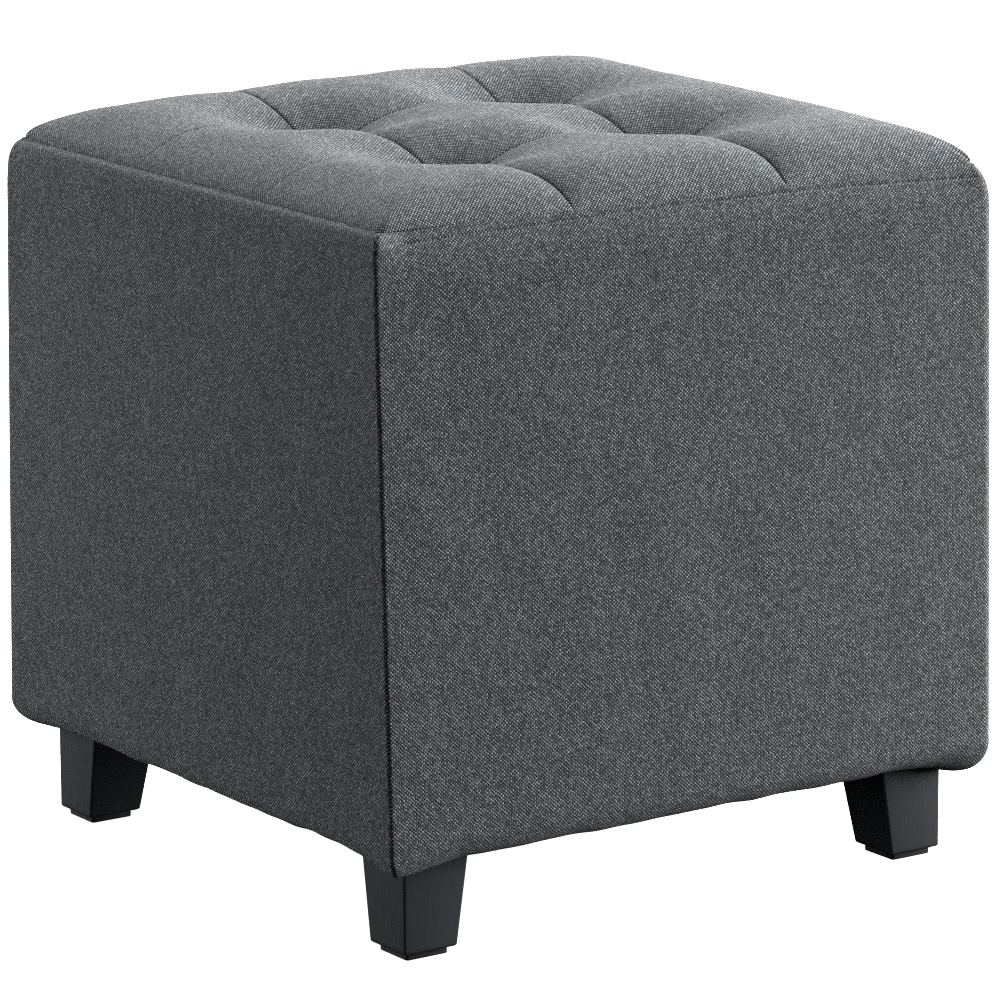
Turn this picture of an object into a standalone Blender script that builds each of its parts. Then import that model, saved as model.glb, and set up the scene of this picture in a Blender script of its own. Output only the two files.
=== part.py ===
"""Cube pouf stool: a quilted top pad on four padded side panels, with four short black legs.

Metres, +Z up, front face towards -Y, origin on the floor under the middle of the pouf.
"""
import math

import bmesh
import bpy
import numpy as np
from mathutils import Matrix

# ---- driving dimensions ------------------------------------------------------------------------
GAP = 0.0003                  # clearance between pieces that touch

BODY_HALF = 0.2050            # middle of the pouf to the flat of a side panel, at the hem
BODY_TAPER = 0.0025           # the body is this much slimmer on each side at the shoulder
PANEL_THICKNESS = 0.040       # side panel, face to back
PANEL_CROWN = 0.0020          # how far the middle of a side panel bulges out
CORNER_RADIUS = 0.009         # upright corners of the body, in plan
CORNER_SEAM_DEPTH = 0.0012    # how far the cloth turns in at an upright corner seam

SEAM_Z = 0.3985               # height of the seam between the top pad and the side panels
SEAM_HALF = 0.1937            # middle of the pouf to that seam
SEAM_CORNER_RADIUS = 0.004    # its corners, in plan
SHOULDER_HEIGHT = 0.020       # the panel rolls over to the seam within this height

UNDERSIDE_Z = 0.0585          # flat underside of the body
HEM_RADIUS = 0.014            # the panel wraps under on this radius
HEM_DROP = 0.0022             # the wrapped edge hangs this much below the underside
HEM_WAVE = 0.0006             # unevenness of the hem between the legs
HEM_WAVES = 3                 # waves of it along a side
HEM_WAVE_SHIFT = 0.07         # and how far they sit off the middle
HEM_LIP = 0.0045              # inner width of the wrapped edge
EAR_REACH = 0.024             # the cloth corners hang lower, fading out along the hem over this distance
EAR_TOP_Z = 0.100             # the drop of the corners has died away at this height

CROWN_HEIGHT = 0.0262         # crest of a pillow above the seam
TUFT_OFFSET = 0.0695          # middle of the pouf to each line of tufts
TUFT_DEPTH = 0.0256           # bottom of a tuft below the crests
DIMPLE_REACH = 0.092          # radius over which a tuft draws the pillows down
DIMPLE_POWER = 1.45           # above 1 the dimple is steepest at its middle
VALLEY_DEPTH = 0.0066         # sewn valley between two pillows, below their crests
VALLEY_RIM_SHARE = 0.5        # share of that depth which is left at the rim
VALLEY_REACH = 0.065          # half the width of a pillow
VALLEY_POWER = 3.0            # above 1 the valley is a crease with rounded sides
BLEND_POWER = 3.0             # how crisply valleys and dimples run into each other
EDGE_REACH = 0.067            # the outer pillows roll down to the seam over this distance
EDGE_ROUNDNESS = (2.1, 0.42)  # inner and outer power of that roll, near a quarter ellipse

LEG_HALF = 0.1828             # middle of the pouf to the upright outer faces of a leg
LEG_TOP = 0.0426              # side of a leg at the body
LEG_FOOT = 0.0343             # side of a leg at its foot
LEG_EDGE = 0.0015             # rounding of a leg's edges
GLIDE_HEIGHT = 0.004
GLIDE_INSET = 0.0038          # a glide is this much smaller than the foot on each side
GLIDE_EDGE = 0.0008

BASE_THICKNESS = 0.012
BASE_EDGE = 0.0015

# ---- how finely the soft faces are divided -------------------------------------------------------
PAD_DIVISIONS = 50            # across the top pad, each way
PAD_CROWDING = 0.62           # 0 spaces them evenly, near 1 crowds them at the seam
PANEL_SPANS = 15              # across the flat of a side panel
CORNER_STEPS = 4              # round half an upright corner
SEAM_LIP = 0.1                # share of the rounded corner over which the cloth turns in at its seam
HEM_STEPS = 5                 # round the hem
FACE_STEPS = 11               # up the face of a side panel
SHOULDER_STEPS = 6            # over the shoulder

# side: (turn about Z in degrees, corner at its start, corner at its end)
SIDES = {
    "front": (0.0, "front_left", "front_right"),
    "right": (90.0, "front_right", "back_right"),
    "back": (180.0, "back_right", "back_left"),
    "left": (270.0, "back_left", "front_left"),
}

# corner: (sign of x, sign of y, how much lower than the hem its cloth hangs)
CORNERS = {
    "front_left": (-1, -1, 0.0040),
    "front_right": (1, -1, 0.0065),
    "back_left": (-1, 1, 0.0010),
    "back_right": (1, 1, 0.0030),
}


# ---- scene and materials -------------------------------------------------------------------------
def clear_scene():
    for old in list(bpy.data.objects):
        bpy.data.objects.remove(old, do_unlink=True)


def principled(name, colour, roughness):
    """A plain material; colour is linear red, green, blue."""
    material = bpy.data.materials.new(name)
    material.use_nodes = True
    shader = material.node_tree.nodes["Principled BSDF"]
    shader.inputs["Base Color"].default_value = (*colour, 1.0)
    shader.inputs["Roughness"].default_value = roughness
    shader.inputs["Metallic"].default_value = 0.0
    return material


def make_materials():
    return {
        "charcoal_linen": principled("charcoal_linen", (0.085, 0.091, 0.097), 0.92),
        "dust_cloth": principled("dust_cloth", (0.010, 0.010, 0.011), 0.95),
        "black_wood": principled("black_wood", (0.014, 0.017, 0.020), 0.38),
        "glide_plastic": principled("glide_plastic", (0.006, 0.006, 0.007), 0.55),
    }


def add_object(name, bm, material, collection, smooth_angle=None):
    """Turn a bmesh into a named object in the pouf's collection."""
    mesh = bpy.data.meshes.new(name)
    bmesh.ops.recalc_face_normals(bm, faces=bm.faces)
    bm.to_mesh(mesh)
    bm.free()
    mesh.materials.append(material)
    if smooth_angle is not None:
        mesh.shade_smooth()
        mesh.set_sharp_from_angle(angle=math.radians(smooth_angle))
    piece = bpy.data.objects.new(name, mesh)
    collection.objects.link(piece)
    return piece


def corner_path(depth, radius, station):
    """Point in plan along one side of a rounded square, ending on its diagonal at station 1."""
    along = abs(station) * depth
    if radius == 0.0 or along <= depth - radius:
        x, y = along, depth
    else:
        turn = 0.25 * math.pi * (along - (depth - radius)) / radius
        x = depth - radius + radius * math.sin(turn)
        y = depth - radius + radius * math.cos(turn)
    return math.copysign(x, station), y


# ---- top pad -------------------------------------------------------------------------------------
def edge_roll(distance):
    """Share of the crown that is reached this far in from the seam: 0 at the seam, 1 on the pillow."""
    inner, outer = EDGE_ROUNDNESS
    inward = min(max(distance / EDGE_REACH, 0.0), 1.0)
    return (1.0 - (1.0 - inward) ** inner) ** outer


def fade(distance, reach, power):
    """1 on a seam or tuft, falling to 0 at its reach."""
    return max(1.0 - distance / reach, 0.0) ** power


def valley(across, along):
    """Depth of a sewn valley, from the distance across to it and the place along it."""
    outward = max(abs(along) - TUFT_OFFSET, 0.0) / (SEAM_HALF - TUFT_OFFSET)
    depth = VALLEY_DEPTH * (1.0 - (1.0 - VALLEY_RIM_SHARE) * outward)
    return depth * fade(abs(across), VALLEY_REACH, VALLEY_POWER)


def pillow_height(x, y):
    """Height of the quilted top above the seam: crowned, with valleys and tufts pressed in."""
    lines = (-TUFT_OFFSET, TUFT_OFFSET)
    pressed = 0.0
    for line in lines:
        pressed += valley(x - line, y) ** BLEND_POWER
        pressed += valley(y - line, x) ** BLEND_POWER
    for tuft_x in lines:
        for tuft_y in lines:
            radius = math.hypot(x - tuft_x, y - tuft_y)
            pressed += (TUFT_DEPTH * fade(radius, DIMPLE_REACH, DIMPLE_POWER)) ** BLEND_POWER
    roll = edge_roll(SEAM_HALF - abs(x)) * edge_roll(SEAM_HALF - abs(y))
    return roll * (CROWN_HEIGHT - pressed ** (1.0 / BLEND_POWER))


def eased_corner(x, y):
    """Move a point of the square grid on to the rounded square that the seam follows in plan."""
    depth = max(abs(x), abs(y), 1e-9)
    station = min(abs(x), abs(y)) / depth
    along, across = corner_path(depth, SEAM_CORNER_RADIUS * depth / SEAM_HALF, station)
    if abs(x) < abs(y):
        return math.copysign(along, x), math.copysign(across, y)
    return math.copysign(across, x), math.copysign(along, y)


def grid_station(fraction):
    """Place of a grid line, 0 to 1 across the pad: lines crowd at the seam, where the pad is steep."""
    return fraction - PAD_CROWDING * math.sin(2.0 * math.pi * fraction) / (2.0 * math.pi)


def make_top_pad(material, collection):
    """A grid raised into pillows, its border turned in and down on the mitre, and closed below."""
    bm = bmesh.new()
    bmesh.ops.create_grid(bm, x_segments=PAD_DIVISIONS, y_segments=PAD_DIVISIONS, size=0.5)
    lift = GAP * math.sqrt(2.0)
    for vertex in bm.verts:
        flat_x = (2.0 * grid_station(vertex.co.x + 0.5) - 1.0) * SEAM_HALF
        flat_y = (2.0 * grid_station(vertex.co.y + 0.5) - 1.0) * SEAM_HALF
        x, y = eased_corner(flat_x, flat_y)
        vertex.co = (x, y, SEAM_Z + lift + pillow_height(flat_x, flat_y))
    border = [edge for edge in bm.edges if edge.is_boundary]
    turned = bmesh.ops.extrude_edge_only(bm, edges=border)["geom"]
    mitre = BODY_HALF - PANEL_THICKNESS
    scale = mitre / SEAM_HALF
    for vertex in (item for item in turned if isinstance(item, bmesh.types.BMVert)):
        vertex.co.x *= scale
        vertex.co.y *= scale
        vertex.co.z -= SEAM_HALF - mitre
    rim = [item for item in turned if isinstance(item, bmesh.types.BMEdge)]
    bmesh.ops.contextual_create(bm, geom=rim)
    return add_object("top_pad", bm, material, collection, smooth_angle=50.0)


# ---- side panels ---------------------------------------------------------------------------------
def rise(height):
    """Share of the way up from the underside to the top seam."""
    return min(max((height - UNDERSIDE_Z) / (SEAM_Z - UNDERSIDE_Z), 0.0), 1.0)


def panel_section():
    """Closed section of a panel as rows of (depth, height, corner radius, softness).

    Depth is measured out from the middle of the pouf. Softness is 1 on the padded face, where the
    crown, the corner seam and the hem's unevenness act, and 0 on the hidden faces.
    """
    inner = BODY_HALF - PANEL_THICKNESS
    rows = [(inner, UNDERSIDE_Z, 0.0, 0.0)]
    roll_centre = (BODY_HALF - HEM_RADIUS, UNDERSIDE_Z - HEM_DROP + HEM_RADIUS)
    rows.append((roll_centre[0] - HEM_LIP, UNDERSIDE_Z, 0.0, 0.0))
    for step in range(HEM_STEPS + 1):
        turn = 0.5 * math.pi * step / HEM_STEPS
        depth = roll_centre[0] + HEM_RADIUS * math.sin(turn)
        height = roll_centre[1] - HEM_RADIUS * math.cos(turn)
        rows.append((depth, height, CORNER_RADIUS, 1.0))
    shoulder_z = SEAM_Z - SHOULDER_HEIGHT
    for step in range(1, FACE_STEPS):
        height = roll_centre[1] + (shoulder_z - roll_centre[1]) * step / FACE_STEPS
        rows.append((BODY_HALF - BODY_TAPER * rise(height), height, CORNER_RADIUS, 1.0))
    for step in range(SHOULDER_STEPS + 1):
        turn = 0.5 * math.pi * step / SHOULDER_STEPS
        depth = SEAM_HALF + (BODY_HALF - BODY_TAPER - SEAM_HALF) * math.cos(turn)
        height = shoulder_z + SHOULDER_HEIGHT * math.sin(turn)
        radius = SEAM_CORNER_RADIUS + (CORNER_RADIUS - SEAM_CORNER_RADIUS) * math.cos(turn)
        rows.append((depth, height, radius, 1.0))
    rows.append((inner, SEAM_Z - (SEAM_HALF - inner), 0.0, 0.0))
    return rows


def panel_stations():
    """Places across a panel from one mitre (-1) to the other (1), crowded at the rounded corners."""
    corner = CORNER_RADIUS / BODY_HALF
    flat = np.linspace(-(1.0 - corner), 1.0 - corner, PANEL_SPANS + 1)
    bend = 1.0 - corner + corner * np.arange(1, CORNER_STEPS) / CORNER_STEPS
    lip = 1.0 - SEAM_LIP * corner
    stations = np.concatenate(([-1.0, -lip], -bend[::-1], flat, bend, [lip, 1.0]))
    return [float(station) for station in stations]


def hem_sag(station, start_drop, end_drop):
    """How far the hem hangs lower at this place: its corners' drops, and a slight wave between them."""
    to_corner = (1.0 - abs(station)) * BODY_HALF
    drop = start_drop if station < 0.0 else end_drop
    wave = HEM_WAVE * math.sin(math.pi * HEM_WAVES * (station + HEM_WAVE_SHIFT)) * (1.0 - abs(station))
    return drop * math.exp(-((to_corner / EAR_REACH) ** 2)) + wave


def panel_point(row, station, sag):
    """World place of one point of the front panel's surface."""
    depth, height, radius, softness = row
    if softness:
        depth += PANEL_CROWN * (1.0 - station ** 2) * math.sin(math.pi * rise(height))
        if abs(station) == 1.0:
            depth -= CORNER_SEAM_DEPTH * min((SEAM_Z - height) / SHOULDER_HEIGHT, 1.0)
        hang = min(max((EAR_TOP_Z - height) / (EAR_TOP_Z - UNDERSIDE_Z), 0.0), 1.0)
        height -= sag * hang ** 2
    x, y = corner_path(depth, radius, station)
    return x - station * GAP / math.sqrt(2.0), -y, height


def loft(sections):
    """Skin a row of equal rings into one closed body, with a flat cap on each end ring."""
    bm = bmesh.new()
    rings = [[bm.verts.new(point) for point in section] for section in sections]
    for ring, following in zip(rings, rings[1:]):
        count = len(ring)
        for index in range(count):
            after = (index + 1) % count
            bm.faces.new((ring[index], ring[after], following[after], following[index]))
    bm.faces.new(rings[0])
    bm.faces.new(rings[-1][::-1])
    return bm


def make_side_panels(material, collection):
    rows = panel_section()
    for side, (turn, start, end) in SIDES.items():
        sections = []
        for station in panel_stations():
            sag = hem_sag(station, CORNERS[start][2], CORNERS[end][2])
            sections.append([panel_point(row, station, sag) for row in rows])
        bm = loft(sections)
        bmesh.ops.rotate(bm, cent=(0, 0, 0), matrix=Matrix.Rotation(math.radians(turn), 3, "Z"), verts=bm.verts)
        add_object(f"side_panel_{side}", bm, material, collection, smooth_angle=50.0)


# ---- base, legs and glides -----------------------------------------------------------------------
def add_block(name, low, high, material, collection, edge):
    """A box between two corners, with rounded edges."""
    bm = bmesh.new()
    bmesh.ops.create_cube(bm, size=1.0)
    for vertex in bm.verts:
        for axis in range(3):
            vertex.co[axis] = high[axis] if vertex.co[axis] > 0.0 else low[axis]
    piece = add_object(name, bm, material, collection)
    add_bevel(piece, edge)
    return piece


def add_bevel(piece, width):
    bevel = piece.modifiers.new("rounded_edges", "BEVEL")
    bevel.width = width
    bevel.segments = 2
    bevel.limit_method = "ANGLE"


def make_base_panel(material, collection):
    half = BODY_HALF - PANEL_THICKNESS - GAP
    low = (-half, -half, UNDERSIDE_Z)
    high = (half, half, UNDERSIDE_Z + BASE_THICKNESS)
    add_block("base_panel", low, high, material, collection, BASE_EDGE)


def make_leg(name, side_x, side_y, material, collection):
    """A block whose outer faces are upright; its foot is smaller, so the inner faces slant in."""
    bm = bmesh.new()
    bmesh.ops.create_cube(bm, size=1.0)
    for vertex in bm.verts:
        at_top = vertex.co.z > 0.0
        width = LEG_TOP if at_top else LEG_FOOT
        outer_x = vertex.co.x * side_x > 0.0
        outer_y = vertex.co.y * side_y > 0.0
        vertex.co.x = side_x * (LEG_HALF if outer_x else LEG_HALF - width)
        vertex.co.y = side_y * (LEG_HALF if outer_y else LEG_HALF - width)
        vertex.co.z = UNDERSIDE_Z - GAP if at_top else GLIDE_HEIGHT + GAP
    add_bevel(add_object(name, bm, material, collection), LEG_EDGE)


def make_glide(name, side_x, side_y, material, collection):
    near = LEG_HALF - LEG_FOOT + GLIDE_INSET
    far = LEG_HALF - GLIDE_INSET
    low = (min(side_x * near, side_x * far), min(side_y * near, side_y * far), 0.0)
    high = (max(side_x * near, side_x * far), max(side_y * near, side_y * far), GLIDE_HEIGHT)
    add_block(name, low, high, material, collection, GLIDE_EDGE)


# ---- the pouf ------------------------------------------------------------------------------------
def build():
    clear_scene()
    collection = bpy.data.collections.new("cube_pouf_stool")
    bpy.context.scene.collection.children.link(collection)
    materials = make_materials()
    make_top_pad(materials["charcoal_linen"], collection)
    make_side_panels(materials["charcoal_linen"], collection)
    make_base_panel(materials["dust_cloth"], collection)
    for corner, (side_x, side_y, _) in CORNERS.items():
        make_leg(f"leg_{corner}", side_x, side_y, materials["black_wood"], collection)
        make_glide(f"glide_{corner}", side_x, side_y, materials["glide_plastic"], collection)


build()
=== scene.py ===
# Cube pouf stool: its looks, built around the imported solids. Metres, +Z up, front face towards -Y.
import math

import bpy
import numpy as np
from mathutils import Matrix, Vector


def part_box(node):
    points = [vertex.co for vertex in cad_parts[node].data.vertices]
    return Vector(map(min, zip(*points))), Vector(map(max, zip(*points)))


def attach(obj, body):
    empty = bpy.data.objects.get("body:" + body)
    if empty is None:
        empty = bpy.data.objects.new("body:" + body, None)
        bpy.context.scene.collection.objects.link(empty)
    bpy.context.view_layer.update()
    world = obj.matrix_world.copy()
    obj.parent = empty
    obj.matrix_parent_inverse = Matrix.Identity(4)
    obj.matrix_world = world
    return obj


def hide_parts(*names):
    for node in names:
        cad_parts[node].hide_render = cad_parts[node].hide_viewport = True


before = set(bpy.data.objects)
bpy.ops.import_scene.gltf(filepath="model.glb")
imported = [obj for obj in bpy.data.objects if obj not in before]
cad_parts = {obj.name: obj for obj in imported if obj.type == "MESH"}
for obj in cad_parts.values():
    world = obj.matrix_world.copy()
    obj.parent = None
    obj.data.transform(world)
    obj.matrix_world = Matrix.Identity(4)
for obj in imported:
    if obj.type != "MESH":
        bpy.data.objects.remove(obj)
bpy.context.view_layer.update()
print("frame loaded:", len(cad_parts), "solids")

padLow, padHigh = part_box("top_pad")
sideLow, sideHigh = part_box("side_panel_front")
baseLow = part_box("base_panel")[0]
solidSwell = 0.0009                          # how far a solid side bulges out past its hem

pouf = {
    "seamHalf": padHigh.x,                   # middle of the pouf to the top seam
    "seamZ": sideHigh.z,                     # height of that seam
    "crest": padHigh.z - sideHigh.z,         # pillows above the seam
    "padBaseZ": padLow.z,                    # hidden underside of the top pad
    "innerHalf": -sideHigh.y,                # hidden inner faces of the sides
    "bodyHalf": -sideLow.y - solidSwell,     # face of a side at the hem, without its swell
    "underZ": baseLow.z,                     # flat underside of the body
    "twist": math.radians(-1.4),             # the cover sits turned by this much at the top seam
    "gap": 0.0001,                           # between pieces that are sewn together
    "sharpAngle": 62.0,                      # degrees: the cloth is shaded as smooth over any lesser fold
}


# Helpers that the pieces share: arrays, meshes and nodes.

def hexColour(text):
    # sRGB hex to linear, as Blender's sockets want it
    srgb = np.array([int(text[i:i + 2], 16) for i in (1, 3, 5)]) / 255.0
    linear = np.where(srgb <= 0.04045, srgb / 12.92, ((srgb + 0.055) / 1.055) ** 2.4)
    return (*[float(c) for c in linear], 1.0)


def smoothStep(low, high, value):
    # 0 below low, 1 above high, an eased cubic between
    share = np.clip((value - low) / (high - low), 0.0, 1.0)
    return share * share * (3.0 - 2.0 * share)


def softNoise(u, v, seed, shortest, longest, waves=22):
    # sum of plane cosine waves with random directions and lengths, about -1 to 1
    rng = np.random.default_rng(seed)
    total = np.zeros(np.broadcast(u, v).shape)
    for _ in range(waves):
        length = math.exp(rng.uniform(math.log(shortest), math.log(longest)))
        angle, phase = rng.uniform(0.0, 2.0 * math.pi, 2)
        total += np.cos(2.0 * math.pi * (u * math.cos(angle) + v * math.sin(angle)) / length + phase)
    return total / math.sqrt(2.0 * waves)


def arcLength(points, axis):
    # running length along one axis of a grid of points, zero at the middle line
    steps = np.linalg.norm(np.diff(points, axis=axis), axis=2)
    start = np.zeros_like(np.take(steps, [0], axis=axis))
    running = np.concatenate((start, np.cumsum(steps, axis=axis)), axis=axis)
    middle = np.take(running, [running.shape[axis] // 2], axis=axis)
    return running - middle


def roundedSquare(along, depth, radius):
    # plan of a square with round corners: the last radius of each side bends to its diagonal
    reach = np.abs(along) * depth
    turn = 0.25 * math.pi * np.clip(reach - (depth - radius), 0.0, None) / np.maximum(radius, 1e-9)
    bent = reach > depth - radius
    x = np.where(bent, depth - radius + radius * np.sin(turn), reach)
    y = np.where(bent, depth - radius + radius * np.cos(turn), depth)
    return np.copysign(x, along), y


def riseShare(z):
    # 0 at the flat underside, 1 at the top seam
    return np.clip((z - pouf["underZ"]) / (pouf["seamZ"] - pouf["underZ"]), 0.0, 1.0)


def twisted(points):
    # each level turns about the upright axis, nothing at the underside, all of it at the top seam
    turn = pouf["twist"] * riseShare(points[..., 2])
    x = points[..., 0] * np.cos(turn) - points[..., 1] * np.sin(turn)
    y = points[..., 0] * np.sin(turn) + points[..., 1] * np.cos(turn)
    return np.stack((x, y, points[..., 2]), axis=-1)


def gridQuads(rows, columns, closed=False):
    # corner numbers of the faces of a rows x columns grid, its columns joined round when closed
    index = np.arange(rows * columns).reshape(rows, columns)
    if closed:
        index = np.concatenate((index, index[:, :1]), axis=1)
    return np.stack((index[:-1, :-1], index[1:, :-1], index[1:, 1:], index[:-1, 1:]), axis=-1).reshape(-1, 4)


def addPiece(name, points, quads, caps, uv, material, nodes, sharpAngle):
    # a closed mesh from arrays, riding on the pouf's one body in place of its solids
    mesh = bpy.data.meshes.new(name)
    loops = np.concatenate([quads.ravel(), *caps]).astype(np.int32)
    starts = np.arange(len(quads)) * 4
    capStarts = len(quads) * 4 + np.cumsum([0] + [len(cap) for cap in caps[:-1]])
    mesh.vertices.add(len(points))
    mesh.vertices.foreach_set("co", points.astype(np.float32).ravel())
    mesh.loops.add(len(loops))
    mesh.loops.foreach_set("vertex_index", loops)
    mesh.polygons.add(len(quads) + len(caps))
    mesh.polygons.foreach_set("loop_start", np.concatenate((starts, capStarts)).astype(np.int32))
    mesh.update(calc_edges=True)
    mesh.validate()
    uvLayer = mesh.uv_layers.new(name="weave")
    uvLayer.data.foreach_set("uv", uv[loops].astype(np.float32).ravel())
    mesh.materials.append(material)
    mesh.shade_smooth()
    mesh.set_sharp_from_angle(angle=math.radians(sharpAngle))
    piece = bpy.data.objects.new(name, mesh)
    bpy.context.scene.collection.objects.link(piece)
    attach(piece, "root")
    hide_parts(*nodes)
    print(f"{name}: {len(mesh.vertices)} points")
    return piece


def addNode(tree, kind, inputs=None, out=None, **settings):
    # a node with its settings, values and links; gives the node itself, or its output called out
    node = tree.nodes.new(kind)
    for key, value in settings.items():
        setattr(node, key, value)
    for key, value in (inputs or {}).items():
        if isinstance(value, bpy.types.NodeSocket):
            tree.links.new(value, node.inputs[key])
        else:
            node.inputs[key].default_value = value
    return node if out is None else node.outputs[out]


def newMaterial(name, shaderInputs):
    # a material with one principled shader, whose sockets take the values given
    material = bpy.data.materials.new(name)
    material.use_nodes = True
    tree = material.node_tree
    tree.nodes.clear()
    shader = addNode(tree, "ShaderNodeBsdfPrincipled", shaderInputs)
    addNode(tree, "ShaderNodeOutputMaterial", {"Surface": shader.outputs["BSDF"]})
    return material, tree, shader


# Linen-look polyester, spun and in plain weave: pale weft and dark warp show by turns as a fine checker, matt
# and fuzzy. Yarns of uneven thickness give upright streaks and short level slubs; warm and cool greys mix.
linen = {
    "warpSpacing": 0.00110,     # real spacing of the upright yarns
    "weftSpacing": 0.00102,     # and of the level ones
    "wander": 1.1,              # how far yarns stray, in their own widths, times a noise of about 0.13
    "wanderLength": 0.003333,   # of one stray
    "darkYarn": "#101315",
    "lightYarn": "#f7f8f9",
    "coolTint": "#dfe8ee",
    "warmTint": "#e4e6e7",
    "tintSize": 0.01053,        # width of a patch of one tint
    "tintStretch": (1.0, 0.35, 0.0),    # below 1 the patches are drawn out upright
    "tintRange": (0.42, 0.72),  # of their noise, from all cool to all warm
    "middle": 0.28,             # shade of a plain spot, 0 dark to 1 light; the shares below vary it
    "checkerShare": 0.48,
    "topCheckerAndShadeShare": 0.36,        # more of the checker where the cover is pulled over the top
    "topPaintedShadeMiddle": 0.84,       # above one half that cloth is painted darker on the whole: painted shade on the brightly lit top
    "pulledCalm": 0.60,         # share of their straying that its yarns lose
    "warpShare": 0.18,
    "warpScale": 3.73,          # not whole, or the noise would give every yarn the same shade
    "warpDrift": 0.03,          # steps of that noise along a yarn for one from yarn to yarn
    "weftShare": 0.16,
    "weftScale": 4.19,
    "weftDrift": 0.07,
    "fleckShare": 0.30,
    "bandShare": 0.04,
    "bandSize": 0.01333,        # width of an upright band of shade
    "bandStretch": (1.0, 0.2, 0.0),
    # painted shade: the hollows between the yarns are painted darker than the yarns' crowns
    "hollowShadeShare": 0.30,
    "contrast": 2.2,
    "roughness": 0.93,
    "ior": 1.46,
    "sheen": 0.10,
    "sheenRoughness": 0.45,
    "crownPower": 0.55,         # below 1 makes the yarns broad and the hollows narrow
    "warpSink": 0.35,           # the thinner warp lies this share lower than the weft
    "yarnRelief": 0.00035,      # between the crown of a yarn and the hollow beside it
    "reliefStrength": 0.7,
}


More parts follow.
